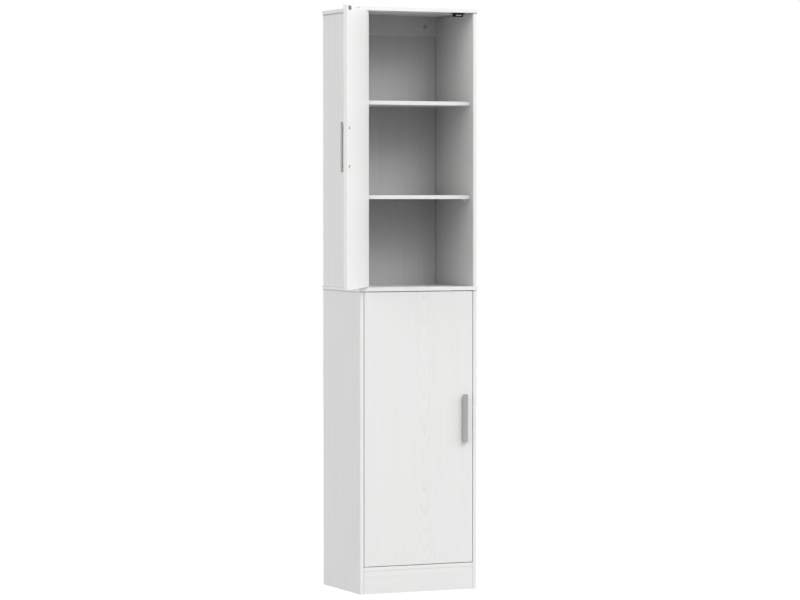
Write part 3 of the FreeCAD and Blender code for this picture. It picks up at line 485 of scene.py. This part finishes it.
def wmath(op, a, b=0.0, clamp=False):
    n = wnode("ShaderNodeMath", operation=op, use_clamp=clamp)
    for i, v in enumerate((a, b)):
        if isinstance(v, bpy.types.NodeSocket):
            wt.links.new(v, n.inputs[i])
        else:
            n.inputs[i].default_value = v
    return n.outputs[0]


# each panel: azimuth from the front towards +X, elevation, radiance, and how sharply it falls off
PANELS = [
    (0, 0, 0.39, 12), (0, 35, 1.42, 12), (50, 42, 1.50, 12), (-72, 22, 3.54, 12), (72, 22, 2.93, 12), (-90, 0, 0.92, 12),
    (112, 0, 1.80, 12), (90, 0, 0.45, 12), (95, 45, 0.44, 12), (0, 75, 0.86, 12), (30, 58, 0.60, 12), (-30, 58, 0.26, 12),
    (0, -70, 3.00, 12), (180, 0, 2.98, 12),
]
direction = wnode("ShaderNodeTexCoord").outputs["Generated"]
strength = 0.0
for azimuth, elevation, radiance, power in PANELS:
    az, el = math.radians(azimuth), math.radians(elevation)
    dot = wnode("ShaderNodeVectorMath", operation="DOT_PRODUCT")
    wt.links.new(direction, dot.inputs[0])
    dot.inputs[1].default_value = (math.sin(az) * math.cos(el), -math.cos(az) * math.cos(el), math.sin(el))
    lobe = wmath("POWER", wmath("MAXIMUM", dot.outputs["Value"], 0.0), float(power))
    strength = wmath("ADD", wmath("MULTIPLY", lobe, radiance), strength)
seen = wnode("ShaderNodeLightPath")
mixed = wnode("ShaderNodeMix", data_type="FLOAT")
wt.links.new(seen.outputs["Is Camera Ray"], mixed.inputs["Factor"])
wt.links.new(strength, mixed.inputs[2])
mixed.inputs[3].default_value = 1.0
sky = wnode("ShaderNodeBackground")
sky.inputs["Color"].default_value = (1.0, 1.0, 1.0, 1.0)
wt.links.new(mixed.outputs[0], sky.inputs["Strength"])
end = wnode("ShaderNodeOutputWorld")
wt.links.new(sky.outputs[0], end.inputs[0])


# the key light: a round soft box, high and a little to the right
az, el = math.radians(17), math.radians(42)
way = Vector((math.sin(az) * math.cos(el), -math.cos(az) * math.cos(el), math.sin(el)))
data = bpy.data.lights.new("key", "AREA")
data.shape = "DISK"
data.size = 2.4
data.energy = 45.0
key = bpy.data.objects.new("key", data)
scene.collection.objects.link(key)
key.location = Vector((0.0, 0.0, 1.0)) + way * 5.0
key.rotation_mode = "QUATERNION"
key.rotation_quaternion = (-way).to_track_quat("-Z", "Y")

# light passes once from board to board, which keeps the inside of the white box as dark as it looks
scene.cycles.diffuse_bounces = 1

# floor: a wide, flat pale sheet, a disc of 9 m radius
verts, faces = [], []
steps = 48
rings = [0.0, 0.6, 1.2, 2.4, 4.0, 6.5, 9.0]
verts.append((0.0, 0.0, 0.0))
for r in rings[1:]:
    for s in range(steps):
        a = 2 * math.pi * s / steps
        verts.append((r * math.cos(a), r * math.sin(a), 0.0))
for s in range(steps):
    faces.append((0, 1 + s, 1 + (s + 1) % steps))
for k in range(len(rings) - 2):
    for s in range(steps):
        a, b = 1 + k * steps + s, 1 + k * steps + (s + 1) % steps
        faces.append((a, a + steps, b + steps, b))
mesh = bpy.data.meshes.new("floor")
mesh.from_pydata(verts, [], faces)
floor = bpy.data.objects.new("floor", mesh)
scene.collection.objects.link(floor)
floor.location.z = -0.0006
g = Graph("pale_floor")
p = g.place()
soft = g.noise(p, 2.2, 2.0)
floor.data.materials.append(g.finish(g.tone(soft, (0.110, 0.110, 0.110), (0.125, 0.125, 0.125)), g.add(0.6, g.mul(soft, 0.1)), g.bump(g.mul(g.noise(p, 160.0, 2.0), 0.00003), 0.5), spec=0.2))
g.shader.inputs["Emission Color"].default_value = (1.0, 1.0, 1.0, 1.0)
g.shader.inputs["Emission Strength"].default_value = 0.95
floor.visible_diffuse = False
g.material.cycles.emission_sampling = "NONE"
floor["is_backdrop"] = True

lo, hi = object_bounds()
